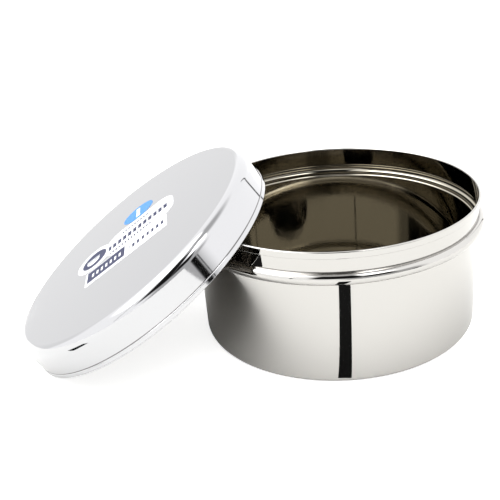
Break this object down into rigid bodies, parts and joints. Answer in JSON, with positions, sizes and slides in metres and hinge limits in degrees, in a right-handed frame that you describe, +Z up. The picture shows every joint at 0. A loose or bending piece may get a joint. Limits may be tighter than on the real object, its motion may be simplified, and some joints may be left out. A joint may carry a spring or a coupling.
{
  "type": "round lidded food tin",
  "caption": "Round polished steel tiffin box with a beaded neck and rolled rim, its shallow press-on lid leaning open against it.",
  "frame": {"origin": "centre of the box's flat underside, on the floor", "axes": "+Z up along the box's axis, the lid leans from the -X side, its lean plane is XZ"},
  "size_m": [0.3079, 0.1912, 0.1187],
  "materials": {
    "polished_steel": "mirror polished",
    "lid_steel": "fine polished",
    "label_film": "printed gloss film",
    "label_blue": "printed gloss film"
  },
  "bodies": {
    "box": {"box_body": "polished_steel"},
    "lid": {"lid_shell": "lid_steel", "label_panel": "label_film", "label_oval": "label_blue"}
  },
  "joints": [
    {"name": "lid_lift", "type": "slide", "parent": "box", "child": "lid", "axis": [0, 0, 1], "range_m": [0, 0.12]}
  ]
}
